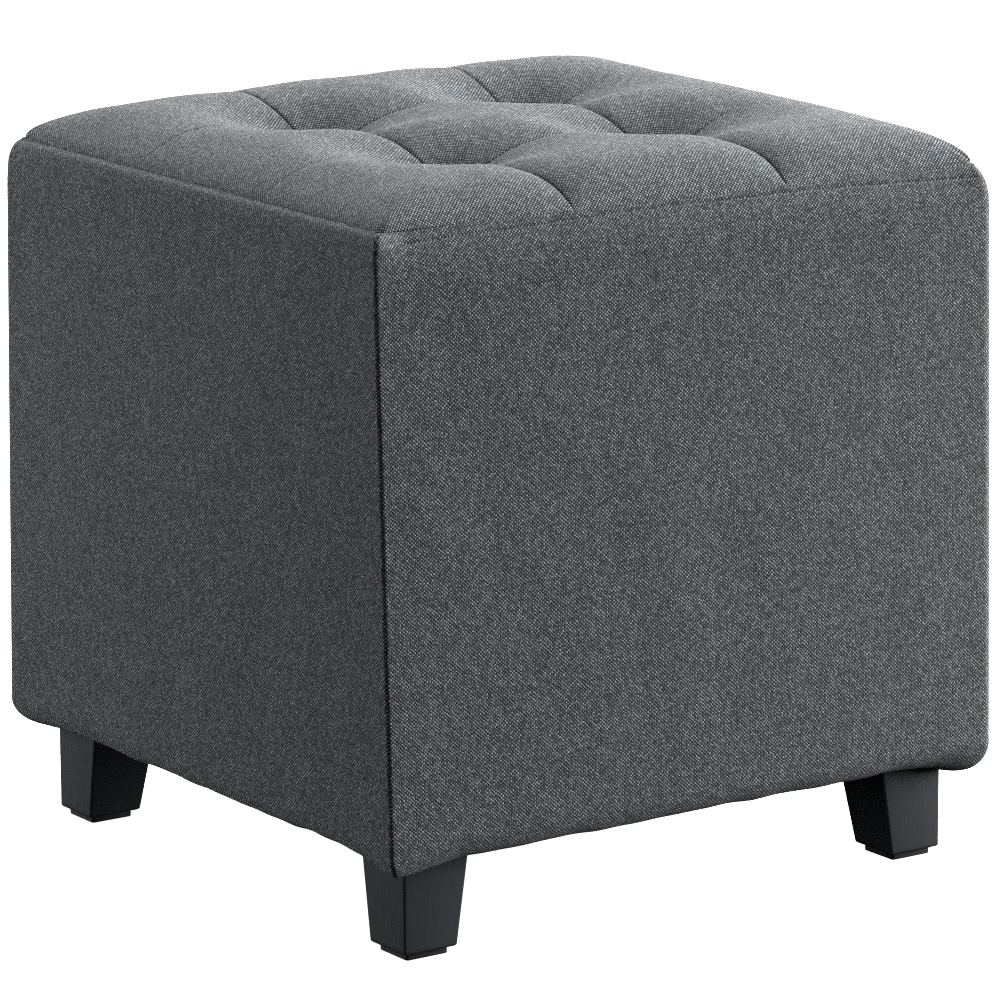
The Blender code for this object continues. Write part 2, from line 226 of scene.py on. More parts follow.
def makeLinen():
    material, tree, shader = newMaterial("charcoalLinen", {
        "Roughness": linen["roughness"], "IOR": linen["ior"],
        "Sheen Weight": linen["sheen"], "Sheen Roughness": linen["sheenRoughness"],
    })

    # yarn grid: uv over the spacings, strayed by noise; whole numbers are the joints between yarns
    uv = addNode(tree, "ShaderNodeUVMap", out="UV", uv_map="weave")
    # pull is 1 over the top pad: there the yarns stray less, the checker is stronger and the cloth is painted
    # darker as shade
    pull = addNode(tree, "ShaderNodeAttribute", out="Fac", attribute_name="pull")
    loose = addNode(tree, "ShaderNodeMath", {0: pull, 1: -linen["pulledCalm"], 2: 1.0}, "Value",
                    operation="MULTIPLY_ADD")
    wander = addNode(tree, "ShaderNodeMath", {0: loose, 1: linen["wander"]}, "Value", operation="MULTIPLY")
    stray = addNode(tree, "ShaderNodeTexNoise", {
        "Vector": uv, "Scale": 1.0 / linen["wanderLength"], "Detail": 2.0,
    }, "Color", noise_dimensions="2D")
    stray = addNode(tree, "ShaderNodeVectorMath", {0: stray, "Scale": wander}, "Vector", operation="SCALE")
    density = (1.0 / linen["warpSpacing"], 1.0 / linen["weftSpacing"], 0.0)
    yarns = addNode(tree, "ShaderNodeVectorMath", {0: uv, 1: density, 2: stray}, "Vector",
                    operation="MULTIPLY_ADD")
    number = addNode(tree, "ShaderNodeVectorMath", {0: yarns}, "Vector", operation="FLOOR")
    turns = addNode(tree, "ShaderNodeVectorMath", {0: yarns, "Scale": math.pi}, "Vector", operation="SCALE")
    waves = addNode(tree, "ShaderNodeVectorMath", {0: turns}, "Vector", operation="SINE")
    place = addNode(tree, "ShaderNodeSeparateXYZ", {"Vector": yarns}).outputs
    count = addNode(tree, "ShaderNodeSeparateXYZ", {"Vector": number}).outputs
    wave = addNode(tree, "ShaderNodeSeparateXYZ", {"Vector": waves}).outputs

    # weft on top where the two yarn numbers add up to an odd one
    total = addNode(tree, "ShaderNodeMath", {0: count["X"], 1: count["Y"]}, "Value", operation="ADD")
    weftOnTop = addNode(tree, "ShaderNodeMath", {0: total, 1: 2.0}, "Value", operation="FLOORED_MODULO")

    # crown of each float: product of two half waves, highest in the middle of the crossing
    crown = addNode(tree, "ShaderNodeMath", {0: wave["X"], 1: wave["Y"]}, "Value", operation="MULTIPLY")
    crown = addNode(tree, "ShaderNodeMath", {0: crown}, "Value", operation="ABSOLUTE")
    crown = addNode(tree, "ShaderNodeMath", {0: crown, 1: linen["crownPower"]}, "Value", operation="POWER")

    # each yarn has its own shade, which drifts slowly along it, and each crossing has a fleck of its own
    noise = {}
    for yarn, across, along in (("warp", "X", "Y"), ("weft", "Y", "X")):
        drift = addNode(tree, "ShaderNodeMath", {0: place[along], 1: linen[yarn + "Drift"]}, "Value",
                        operation="MULTIPLY")
        spot = addNode(tree, "ShaderNodeCombineXYZ", {across: count[across], along: drift}, "Vector")
        noise[yarn] = addNode(tree, "ShaderNodeTexNoise", {
            "Vector": spot, "Scale": linen[yarn + "Scale"], "Detail": 1.0,
        }, "Fac", noise_dimensions="2D")
    fleck = addNode(tree, "ShaderNodeTexWhiteNoise", {"Vector": number}, "Value", noise_dimensions="2D")

    # wide bands of shade and patches of tint run upright
    for pattern in ("band", "tint"):
        spot = addNode(tree, "ShaderNodeVectorMath", {0: uv, 1: linen[pattern + "Stretch"]}, "Vector",
                       operation="MULTIPLY")
        noise[pattern] = addNode(tree, "ShaderNodeTexNoise", {
            "Vector": spot, "Scale": 1.0 / linen[pattern + "Size"], "Detail": 2.0,
        }, "Fac", noise_dimensions="2D")

    # shade: the middle one plus each part's share of its distance from one half, then more contrast; the
    # darkening of the top pad and of the hollows between yarns is painted shade
    parts = {
        "checkerShare": weftOnTop, "warpShare": noise["warp"], "weftShare": noise["weft"],
        "fleckShare": fleck, "bandShare": noise["band"], "hollowShadeShare": crown,
    }
    tone = linen["middle"] - sum(linen[share] for share in parts) / 2.0
    # the top pad gets more of the checker and is painted darker on the whole: painted shade
    topCheckerAndShade = addNode(tree, "ShaderNodeMath", {0: weftOnTop, 1: linen["topPaintedShadeMiddle"]}, "Value",
                     operation="SUBTRACT")
    topCheckerAndShade = addNode(tree, "ShaderNodeMath", {0: topCheckerAndShade, 1: pull}, "Value", operation="MULTIPLY")
    tone = addNode(tree, "ShaderNodeMath", {0: topCheckerAndShade, 1: linen["topCheckerAndShadeShare"], 2: tone}, "Value",
                   operation="MULTIPLY_ADD")
    for share, source in parts.items():
        tone = addNode(tree, "ShaderNodeMath", {0: source, 1: linen[share], 2: tone}, "Value",
                       operation="MULTIPLY_ADD")
    tone = addNode(tree, "ShaderNodeClamp", {"Value": tone}, "Result")
    tone = addNode(tree, "ShaderNodeMath", {0: tone, 1: linen["contrast"]}, "Value", operation="POWER")
    shade = addNode(tree, "ShaderNodeMix", {
        "Factor": tone, 6: hexColour(linen["darkYarn"]), 7: hexColour(linen["lightYarn"]),
    }, 2, data_type="RGBA")
    coolest, warmest = linen["tintRange"]
    warmth = addNode(tree, "ShaderNodeMapRange", {
        "Value": noise["tint"], "From Min": coolest, "From Max": warmest,
    }, "Result")
    tint = addNode(tree, "ShaderNodeMix", {
        "Factor": warmth, 6: hexColour(linen["coolTint"]), 7: hexColour(linen["warmTint"]),
    }, 2, data_type="RGBA")
    colour = addNode(tree, "ShaderNodeVectorMath", {0: shade, 1: tint}, "Vector", operation="MULTIPLY")
    tree.links.new(colour, shader.inputs["Base Color"])

    # relief: the crown, lower where the warp is on top
    standing = addNode(tree, "ShaderNodeMath", {
        0: weftOnTop, 1: linen["warpSink"], 2: 1.0 - linen["warpSink"],
    }, "Value", operation="MULTIPLY_ADD")
    relief = addNode(tree, "ShaderNodeMath", {0: crown, 1: standing}, "Value", operation="MULTIPLY")
    bump = addNode(tree, "ShaderNodeBump", {
        "Height": relief, "Strength": linen["reliefStrength"], "Distance": linen["yarnRelief"],
    }, "Normal")
    tree.links.new(bump, shader.inputs["Normal"])
    return material


linenMaterial = makeLinen()
print("linen ready")


# Top pad: nine pillows, sewn valleys and four blind tufts.
topPad = {
    "linesAcross": ((-0.0725, 0.0), (0.0704, 0.022)),     # seams that run front to back: place, slant
    "linesAlong": ((-0.0665, 0.045), (0.0694, 0.058)),    # seams that run left to right: place, slant
    "tuftOffset": 0.070,        # middle of the pouf to a line of tufts, on average
    "tuftDepth": 0.0310,
    "dimpleReach": 0.087,
    "dimplePower": 1.8,
    "valleyDepth": 0.0065,
    "valleyReach": 0.050,
    "valleyPower": 2.4,
    "tuckReach": 0.015,
    "acrossTuck": 0.0035,       # the last steep drop into a seam
    "alongTuck": 0.0012,
    # share of a valley's depth left at the rim, and how far out that share is reached, 1 at the rim
    "frontEnd": (0.80, 1.0),
    "backEnd": (0.12, 0.75),
    "leftEnd": (0.15, 0.60),
    "rightEnd": (0.08, 0.60),
    "blendPower": 3.0,
    # reach of the rim's roll and its two powers: high and steep at the back and right, long at the left
    "backRoll": (0.067, 2.1, 0.42),
    "rightRoll": (0.067, 2.3, 0.38),
    "leftRoll": (0.090, 3.0, 0.72),
    "frontRoll": (0.062, 3.8, 0.95),
    "rollPower": 3.0,           # how two rolls join at a corner: the more, the fuller the corner
    "leftLow": 0.14,            # share of the crest that the left pillows lack
    "leftRange": (-0.15, 0.03),
    "frontLow": 0.15,           # that the front ones lack
    "frontRange": (-0.19, -0.03),
    "middleLow": 0.11,          # and that the middle one lacks
    "middleReach": 0.10,
    "cornerRadius": 0.004,
    "creaseDepth": 0.0008,      # narrow fold where the cloth is drawn into a seam
    "creaseWidth": 0.0008,
    "alongCrease": 0.25,        # share of it that the level seams keep away from the tufts
    "nearTuft": (0.015, 0.060),
    "creaseRim": 0.002,         # in from the rim, where the folds begin
    "relief": 0.0004,           # soft unevenness of the pillows
    "reliefWaves": (0.03, 0.09),
    "reliefRim": 0.03,
    "reliefSeed": 5,
    "stretch": (0.98, 0.94),    # the cover is pulled over the pad, so its yarns lie further apart there
    "planRounds": 5,            # the slanted seams cross, so their places are found by rounds
    "cells": 90,                # across one pillow, in the finished mesh
    "crowding": 0.75,           # 0 spaces them evenly, near 1 crowds them at the seams
    "simCells": 22,             # across one pillow, while it is blown up
    "simCrowding": 0.35,
    "startShare": 0.88,         # of the crest, before it is blown up
    "pressure": 4.0,
    "frames": 20,
    "quality": 6,
    "mass": 0.3,
    "stiffness": 25.0,
    "bending": 1.0,
    "rimHold": (0.001, 0.012),  # held all the way up to the first distance, free past the second
    "tuftHold": (0.003, 0.012),
    "seamHold": 0.35,           # how firmly a seam is held
    "seamFrom": 0.8,            # of the fold's depth, where the seam's hold starts
    "cap": 0.006,               # no point moves further than this
    "fill": 0.75,
}


def seamCells(lines, far, pillow):
    # the two seams either side of each point's pillow: place plus slant times how far along them it is
    half = pouf["seamHalf"]
    edges = [np.full_like(far, -half)]
    edges += [place + slant * far for place, slant in lines]
    edges += [np.full_like(far, half)]
    return np.choose(pillow, edges[:3]), np.choose(pillow, edges[1:])


def padPlan(cells, crowding):
    # flat places of a grid whose lines fall on the slanted seams: 0 to 3 both ways, a pillow for each 1
    even = np.arange(cells + 1) / cells
    eased = even - crowding * np.sin(2.0 * math.pi * even) / (2.0 * math.pi)
    station = np.concatenate((eased, 1.0 + eased[1:], 2.0 + eased[1:]))
    pillow = np.minimum(np.floor(station), 2).astype(int)
    share = station - pillow
    flat = np.interp(station, (0, 3), (-pouf["seamHalf"], pouf["seamHalf"]))
    x, y = np.meshgrid(flat, flat, indexing="ij")
    for _ in range(topPad["planRounds"]):
        low, high = seamCells(topPad["linesAcross"], y, pillow[:, None])
        x = low + (high - low) * share[:, None]
        low, high = seamCells(topPad["linesAlong"], x, pillow[None, :])
        y = low + (high - low) * share[None, :]
    return station, x, y


def tuftPlaces():
    # where the slanted seams cross
    places = []
    for acrossPlace, acrossSlant in topPad["linesAcross"]:
        for alongPlace, alongSlant in topPad["linesAlong"]:
            y = (alongPlace + alongSlant * acrossPlace) / (1.0 - alongSlant * acrossSlant)
            places.append((acrossPlace + acrossSlant * y, y))
    return places


def rimShare(x, y):
    # what the four rolls leave of the crest: each is near a quarter ellipse, (1 - (1 - d) ^ inner) ^ outer,
    # and they join as a soft least of the four: (1 + sum of (share ^ -power - 1)) ^ (-1 / power)
    half = pouf["seamHalf"]
    power = topPad["rollPower"]
    scarcity = np.ones_like(x)
    rolls = ((half + y, "frontRoll"), (half - y, "backRoll"), (half + x, "leftRoll"), (half - x, "rightRoll"))
    for distance, roll in rolls:
        reach, inner, outer = topPad[roll]
        kept = (1.0 - (1.0 - np.clip(distance / reach, 0.0, 1.0)) ** inner) ** outer
        scarcity += np.maximum(kept, 1e-4) ** -power - 1.0
    level = 1.0 - topPad["leftLow"] * (1.0 - smoothStep(*topPad["leftRange"], x))
    level = level - topPad["frontLow"] * (1.0 - smoothStep(*topPad["frontRange"], y))
    level = level - topPad["middleLow"] * np.exp(-(np.hypot(x, y) / topPad["middleReach"]) ** 2)
    return level * scarcity ** (-1.0 / power)


def pillowHeight(x, y, crest):
    # crest minus the pressed-in valleys and dimples, blended by a high power, all rolled down at the rim
    pressed = np.zeros_like(x)
    power = topPad["blendPower"]
    seams = [(x - place - slant * y, y, "frontEnd", "backEnd", "acrossTuck")
             for place, slant in topPad["linesAcross"]]
    seams += [(y - place - slant * x, x, "leftEnd", "rightEnd", "alongTuck")
              for place, slant in topPad["linesAlong"]]
    beyondTufts = pouf["seamHalf"] - topPad["tuftOffset"]
    for across, along, lowEnd, highEnd, tuckName in seams:
        outward = np.clip(np.abs(along) - topPad["tuftOffset"], 0.0, None) / beyondTufts
        valley = np.clip(1.0 - np.abs(across) / topPad["valleyReach"], 0.0, None) ** topPad["valleyPower"]
        tuck = 1.0 - np.sqrt(1.0 - np.clip(1.0 - np.abs(across) / topPad["tuckReach"], 0.0, None) ** 2)
        endShare, endPlace = [np.where(along < 0.0, topPad[lowEnd][i], topPad[highEnd][i]) for i in (0, 1)]
        share = 1.0 - (1.0 - endShare) * smoothStep(0.0, endPlace, outward)
        pressed += (share * (topPad["valleyDepth"] * valley + topPad[tuckName] * tuck)) ** power
    for tuftX, tuftY in tuftPlaces():
        near = np.clip(1.0 - np.hypot(x - tuftX, y - tuftY) / topPad["dimpleReach"], 0.0, None)
        pressed += (topPad["tuftDepth"] * near ** topPad["dimplePower"]) ** power
    return rimShare(x, y) * (crest - pressed ** (1.0 / power))


def fromRim(x, y):
    # how far in from the top seam's square a place is
    return pouf["seamHalf"] - np.maximum(np.abs(x), np.abs(y))


def tuftNearness(x, y, reach):
    # 1 up to the first distance of reach from a tuft, 0 past the second
    near = np.zeros_like(x)
    for tuftX, tuftY in tuftPlaces():
        near = np.maximum(near, 1.0 - smoothStep(*reach, np.hypot(x - tuftX, y - tuftY)))
    return near


def creases(x, y):
    # narrow fold along each sewn line, an exponential cusp; the level lines are faint away from the tufts
    fold = np.zeros_like(x)
    for place, slant in topPad["linesAcross"]:
        fold = np.maximum(fold, np.exp(-np.abs(x - place - slant * y) / topPad["creaseWidth"]))
    nearTuft = tuftNearness(x, y, topPad["nearTuft"])
    alongShare = topPad["alongCrease"] + (1.0 - topPad["alongCrease"]) * nearTuft
    for place, slant in topPad["linesAlong"]:
        fold = np.maximum(fold, alongShare * np.exp(-np.abs(y - place - slant * x) / topPad["creaseWidth"]))
    return topPad["creaseDepth"] * fold * smoothStep(0.0, topPad["creaseRim"], fromRim(x, y))


def padPoints(x, y, height):
    # the flat places eased on to the seam's rounded square, and lifted
    depth = np.maximum(np.maximum(np.abs(x), np.abs(y)), 1e-9)
    flatAlong = np.where(np.abs(x) < np.abs(y), x, y)
    along, across = roundedSquare(flatAlong / depth, depth, topPad["cornerRadius"] * depth / pouf["seamHalf"])
    px = np.where(np.abs(x) < np.abs(y), along, np.copysign(across, x))
    py = np.where(np.abs(x) < np.abs(y), np.copysign(across, y), along)
    return np.stack((px, py, pouf["seamZ"] + pouf["gap"] + height), axis=-1)


def closePad(points):
    # the rim turned in and down on the mitre to the hidden underside; returns points, quads and the cap
    count = points.shape[0]
    index = np.arange(count * count).reshape(count, count)
    rim = np.concatenate((index[:-1, 0], index[-1, :-1], index[:0:-1, -1], index[0, :0:-1]))
    flat = points.reshape(-1, 3)
    scale = pouf["innerHalf"] / pouf["seamHalf"]
    below = flat[rim] * (scale, scale, 0.0) + (0.0, 0.0, pouf["padBaseZ"])
    ring = len(flat) + np.arange(len(rim))
    skirt = np.stack((rim, np.roll(rim, -1), np.roll(ring, -1), ring), axis=-1)[:, ::-1]
    quads = np.concatenate((gridQuads(count, count), skirt))
    return np.concatenate((flat, below)), quads, ring[::-1], rim


def blowUp(points, x, y):
    # pressure inside the closed pad, held at the rim and the tufts and lightly at the seams
    closed, quads, cap, rim = closePad(points)
    mesh = bpy.data.meshes.new("padBlownUp")
    mesh.from_pydata(closed.tolist(), [], quads.tolist() + [cap.tolist()])
    pad = bpy.data.objects.new("padBlownUp", mesh)
    bpy.context.scene.collection.objects.link(pad)
    hold = np.ones(len(closed))
    rimHold = 1.0 - smoothStep(*topPad["rimHold"], fromRim(x, y))
    tuftHold = tuftNearness(x, y, topPad["tuftHold"])
    seamHold = topPad["seamHold"] * (creases(x, y) > topPad["seamFrom"] * topPad["creaseDepth"])
    hold[:x.size] = np.maximum(np.maximum(rimHold, tuftHold), seamHold).ravel()
    group = pad.vertex_groups.new(name="held")
    for weight in np.unique(hold.round(2)):
        group.add(np.flatnonzero(hold.round(2) == weight).tolist(), float(weight), "REPLACE")
    cloth = pad.modifiers.new("pressure", "CLOTH")
    settings = cloth.settings
    settings.quality = topPad["quality"]
    settings.mass = topPad["mass"]
    settings.tension_stiffness = topPad["stiffness"]
    settings.compression_stiffness = topPad["stiffness"]
    settings.bending_stiffness = topPad["bending"]
    settings.use_pressure = True
    settings.uniform_pressure_force = topPad["pressure"]
    settings.effector_weights.gravity = 0.0
    settings.vertex_group_mass = "held"
    cloth.collision_settings.use_collision = False
    cloth.point_cache.frame_start = 1
    cloth.point_cache.frame_end = topPad["frames"]
    scene = bpy.context.scene
    for step in range(1, topPad["frames"] + 1):
        scene.frame_set(step)
    blown = np.empty(len(closed) * 3, np.float32)
    bpy.context.view_layer.update()
    evaluated = pad.evaluated_get(bpy.context.evaluated_depsgraph_get())
    evaluated.data.vertices.foreach_get("co", blown)
    scene.frame_set(1)
    bpy.data.objects.remove(pad)
    bpy.data.meshes.remove(mesh)
    move = blown.reshape(-1, 3)[:x.size].reshape(points.shape) - points
    length = np.linalg.norm(move, axis=-1, keepdims=True)
    print("pad blown up: largest move %.1f mm" % (1000.0 * length.max()))
    return move * np.minimum(1.0, topPad["cap"] / np.maximum(length, 1e-9))


def resample(field, oldStation, newStation):
    # cubic through four neighbours, one axis after the other
    for axis in (0, 1):
        place = np.interp(newStation, oldStation, np.arange(len(oldStation)))
        first = np.clip(np.floor(place).astype(int), 0, len(oldStation) - 2)
        share = place - first
        weights = (
            -0.5 * share + share ** 2 - 0.5 * share ** 3,
            1.0 - 2.5 * share ** 2 + 1.5 * share ** 3,
            0.5 * share + 2.0 * share ** 2 - 1.5 * share ** 3,
            -0.5 * share ** 2 + 0.5 * share ** 3,
        )
        shape = [1, 1, 1]
        shape[axis] = -1
        parts = [
            weight.reshape(shape) * np.take(field, np.clip(first + offset, 0, len(oldStation) - 1), axis=axis)
            for offset, weight in zip((-1, 0, 1, 2), weights)
        ]
        field = sum(parts)
    return field


def makeTopPad():
    # pillows by formula, blown up, their crest brought back to its height, then folded at the seams
    station, x, y = padPlan(topPad["cells"], topPad["crowding"])
    coarseStation, coarseX, coarseY = padPlan(topPad["simCells"], topPad["simCrowding"])
    crest = topPad["startShare"] * pouf["crest"]
    coarse = padPoints(coarseX, coarseY, pillowHeight(coarseX, coarseY, crest))
    move = blowUp(coarse, coarseX, coarseY)
    points = padPoints(x, y, pillowHeight(x, y, crest)) + resample(move, coarseStation, station)
    height = points[..., 2] - pouf["seamZ"]
    points[..., 2] = pouf["seamZ"] + height * pouf["crest"] / height.max()
    uneven = topPad["relief"] * softNoise(x, y, topPad["reliefSeed"], *topPad["reliefWaves"])
    points[..., 2] -= creases(x, y)
    points[..., 2] += uneven * smoothStep(0.0, topPad["reliefRim"], fromRim(x, y))
    smooth = padPoints(x, y, pouf["crest"] * rimShare(x, y))      # without its tufts, for straight yarns
    uv = np.stack((arcLength(smooth, 0), arcLength(smooth, 1)), axis=-1) * topPad["stretch"]
    print("pad: tufts end %.1f mm above its underside" % (1000.0 * (points[..., 2].min() - pouf["padBaseZ"])))
    points = twisted(points)
    closed, quads, cap, rim = closePad(points)
    flatUv = uv.reshape(-1, 2)
    piece = addPiece("topPad", closed, quads, [cap], np.concatenate((flatUv, flatUv[rim])), linenMaterial,
                     ["top_pad"], pouf["sharpAngle"])
    # pull marks the whole top pad: the shader calms its yarns there and paints its cloth darker as shade
    pull = piece.data.attributes.new("pull", "FLOAT", "POINT")
    pull.data.foreach_set("value", np.ones(len(closed), np.float32))


makeTopPad()


# Sides: padded panels, rolled over to the top seam and wrapped under at the hem.
side = {
    "swell": 0.0020,            # middle of a face bulges out
    "taper": 0.0025,            # slimmer at the shoulder than at the hem
    "seamCornerRadius": 0.004,  # of every corner, at the top seam
    "shoulder": 0.020,          # height of the roll over to the seam
    "frontLean": 0.37,          # of that height below the bend of the front's steeper roll
    "leanReach": 0.020,         # in from the front's corners, where that roll is not yet steeper
    "hemRadius": 0.014,
    "hemDrop": 0.0022,          # the hem hangs this far below the solid's flat underside
    "hemLip": 0.0045,           # from its lowest line in to that underside
    "earReach": 0.024,          # in from a corner, where its cloth hangs lower
    "earTopZ": 0.100,           # height at which the sag and the pull of the hem have died out
    "cornerSeamDepth": 0.0005,
    "cornerSeamWidth": 0.0004,
    "beadPlace": 0.0014,        # ridge of the folded edge below the top seam
    "beadWidth": 0.0006,
    "seamGroove": 0.0010,
    "seamGrooveWidth": 0.0007,
    "frontGroove": (0.012, 0.055),      # from the front's left corner, where its groove fades out
    "relief": 0.00035,          # soft unevenness of the faces
    "reliefWaves": (0.05, 0.2),
    "calmReach": 0.03,          # in from every seam, where a face is not yet uneven
    "hemPull": 0.0007,          # unevenness of the hem
    "hemWaves": (0.025, 0.12),
    "pullRange": (0.010, 0.050),
    "powerReach": 0.040,        # in from a corner, where the shoulder takes its side's own power
    "faceSteps": 96,
    "shoulderSteps": 64,
    "hemSteps": 14,
    "flatSteps": 140,
    "cornerSteps": 16,
    "cornerCrowding": 0.6,      # below 1 the last steps crowd towards the corner seam
    "fill": 0.9,
}

rollWidth = pouf["bodyHalf"] - side["taper"] - pouf["seamHalf"]      # of the shoulder, in to the top seam

# the corners at a side's ends, height of the ridge below the top seam, power of the shoulder (2 is an ellipse),
# lift of the hem between the corners; each side stands a quarter turn on from the last
sideTable = {
    "Front": {"corners": ("frontLeft", "frontRight"), "bead": 0.00025, "power": 2.2, "lift": 0.0008},
    "Right": {"corners": ("frontRight", "backRight"), "bead": 0.0008, "power": 2.8, "lift": 0.0008},
    "Back": {"corners": ("backRight", "backLeft"), "bead": 0.0008, "power": 2.8, "lift": 0.0008},
    "Left": {"corners": ("backLeft", "frontLeft"), "bead": 0.0008, "power": 3.2, "lift": 0.0022},
}

# how far a corner's cloth hangs below the hem, its rounding in plan, power of the shoulder beside it
cornerTable = {
    "frontLeft": {"sag": 0.0040, "radius": 0.0022, "power": 2.6},
    "frontRight": {"sag": 0.0065, "radius": 0.0090, "power": 1.8},
    "backLeft": {"sag": 0.0010, "radius": 0.0090, "power": 2.2},
    "backRight": {"sag": 0.0030, "radius": 0.0090, "power": 2.6},
}

# Faint fold below the front's top seam, where the seam allowance shows through.
frontFold = {
    "depth": 0.0010,
    "width": 0.0006,
    "ridge": 0.0002,            # low swelling under the fold
    "ridgePlace": 0.0015,
    "ridgeWidth": 0.0010,
    # place along the side from -1 to 1, distance below the seam, share of the depth
    "line": (
        (-0.96, 0.0064, 0.0), (-0.92, 0.0062, 1.0), (-0.70, 0.0050, 1.0), (-0.30, 0.0034, 0.9),
        (0.0, 0.0028, 0.3), (0.06, 0.0028, 1.0), (0.25, 0.0028, 1.0), (0.40, 0.0030, 0.35),
        (0.55, 0.0034, 1.0), (0.96, 0.0058, 1.0), (0.99, 0.0060, 0.0),
    ),
}


def sideProfile():
    # closed section: hidden inner face, hem roll, face, shoulder roll, mitre
    # soft is 1 on the cloth, roll runs from 0 to 1 along the shoulder
    centre = (pouf["bodyHalf"] - side["hemRadius"], pouf["underZ"] - side["hemDrop"] + side["hemRadius"])
    turn = np.linspace(0.0, 0.5 * math.pi, side["hemSteps"] + 1)
    hem = centre + side["hemRadius"] * np.stack((np.sin(turn), -np.cos(turn)), axis=-1)
    shoulderZ = pouf["seamZ"] - side["shoulder"]
    faceZ = np.linspace(centre[1], shoulderZ, side["faceSteps"] + 1)[1:-1]
    face = np.stack((pouf["bodyHalf"] - side["taper"] * riseShare(faceZ), faceZ), axis=-1)
    turn = np.linspace(0.0, 0.5 * math.pi, side["shoulderSteps"] + 1)
    shoulder = np.stack((rollWidth * np.cos(turn), side["shoulder"] * np.sin(turn)), axis=-1)
    shoulder += (pouf["seamHalf"], shoulderZ)
    hidden = np.array([(pouf["innerHalf"], pouf["underZ"]), (centre[0] - side["hemLip"], pouf["underZ"])])
    mitre = np.array([(pouf["innerHalf"], pouf["padBaseZ"])])
    profile = np.concatenate((hidden, hem, face, shoulder, mitre))
    soft = np.ones(len(profile))
    soft[[0, 1, -1]] = 0.0
    roll = np.zeros(len(profile))
    roll[-len(turn) - 1:-1] = turn / (0.5 * math.pi)
    return profile[:, 0], profile[:, 1], roll, soft


def squareShoulder(depth, height, roll, power):
    # the shoulder's quarter ellipse with its two halves raised to 2 / power: above 2 it is squarer
    turn = 0.5 * math.pi * roll
    squareDepth = pouf["seamHalf"] + rollWidth * np.cos(turn) ** (2.0 / power)
    squareHeight = pouf["seamZ"] - side["shoulder"] * (1.0 - np.sin(turn) ** (2.0 / power))
    return np.where(roll > 0.0, squareDepth, depth), np.where(roll > 0.0, squareHeight, height)


def leanFront(depth, height, roll, toCorner):
    # away from its corners the front's roll is a quadratic curve that meets the pad's slope without a ledge
    leanDepth = pouf["seamHalf"] + rollWidth * (1.0 - roll ** 2)
    rise = 2.0 * roll * (1.0 - roll) * side["frontLean"] + roll ** 2
    leanHeight = pouf["seamZ"] - side["shoulder"] * (1.0 - rise)
    blend = np.where(roll > 0.0, smoothStep(0.0, side["leanReach"], toCorner), 0.0)
    return depth + (leanDepth - depth) * blend, height + (leanHeight - height) * blend


def sideStations():
    # places along a side, -1 to 1, crowded at the corner seams
    corner = cornerTable["backLeft"]["radius"] / pouf["bodyHalf"]
    flat = np.linspace(-(1.0 - corner), 1.0 - corner, side["flatSteps"] + 1)
    share = (np.arange(1, side["cornerSteps"] + 1) / side["cornerSteps"]) ** side["cornerCrowding"]
    bend = 1.0 - corner + corner * share
    return np.concatenate((-bend[::-1], flat, bend))


def sideRelief(name, bead, station, toCorner, height, level, points, fromSeam, seed):
    # soft noise away from the seams, a ridge along the top seam and a groove on it, and the front's fold
    calm = smoothStep(0.0, side["calmReach"], toCorner) * smoothStep(0.0, side["calmReach"], fromSeam)
    calm = calm * smoothStep(0.0, side["calmReach"], height - pouf["underZ"])
    relief = side["relief"] * calm * softNoise(points[..., 0], points[..., 2], seed, *side["reliefWaves"])
    relief += bead * np.exp(-((fromSeam - side["beadPlace"]) / side["beadWidth"]) ** 2)
    groove = side["seamGroove"] * np.exp(-np.abs(fromSeam) / side["seamGrooveWidth"])
    if name == "Front":
        groove = groove * (1.0 - smoothStep(*side["frontGroove"], (1.0 + station) * pouf["bodyHalf"]))
        place, depthBelow, strength = np.array(frontFold["line"]).T
        below = pouf["seamZ"] - level - np.interp(station, place, depthBelow)
        strength = np.interp(station, place, strength)
        relief -= frontFold["depth"] * strength * np.exp(-(below / frontFold["width"]) ** 2)
        fromRidge = (below - frontFold["ridgePlace"]) / frontFold["ridgeWidth"]
        relief += frontFold["ridge"] * strength * np.exp(-fromRidge ** 2)
    return relief - groove


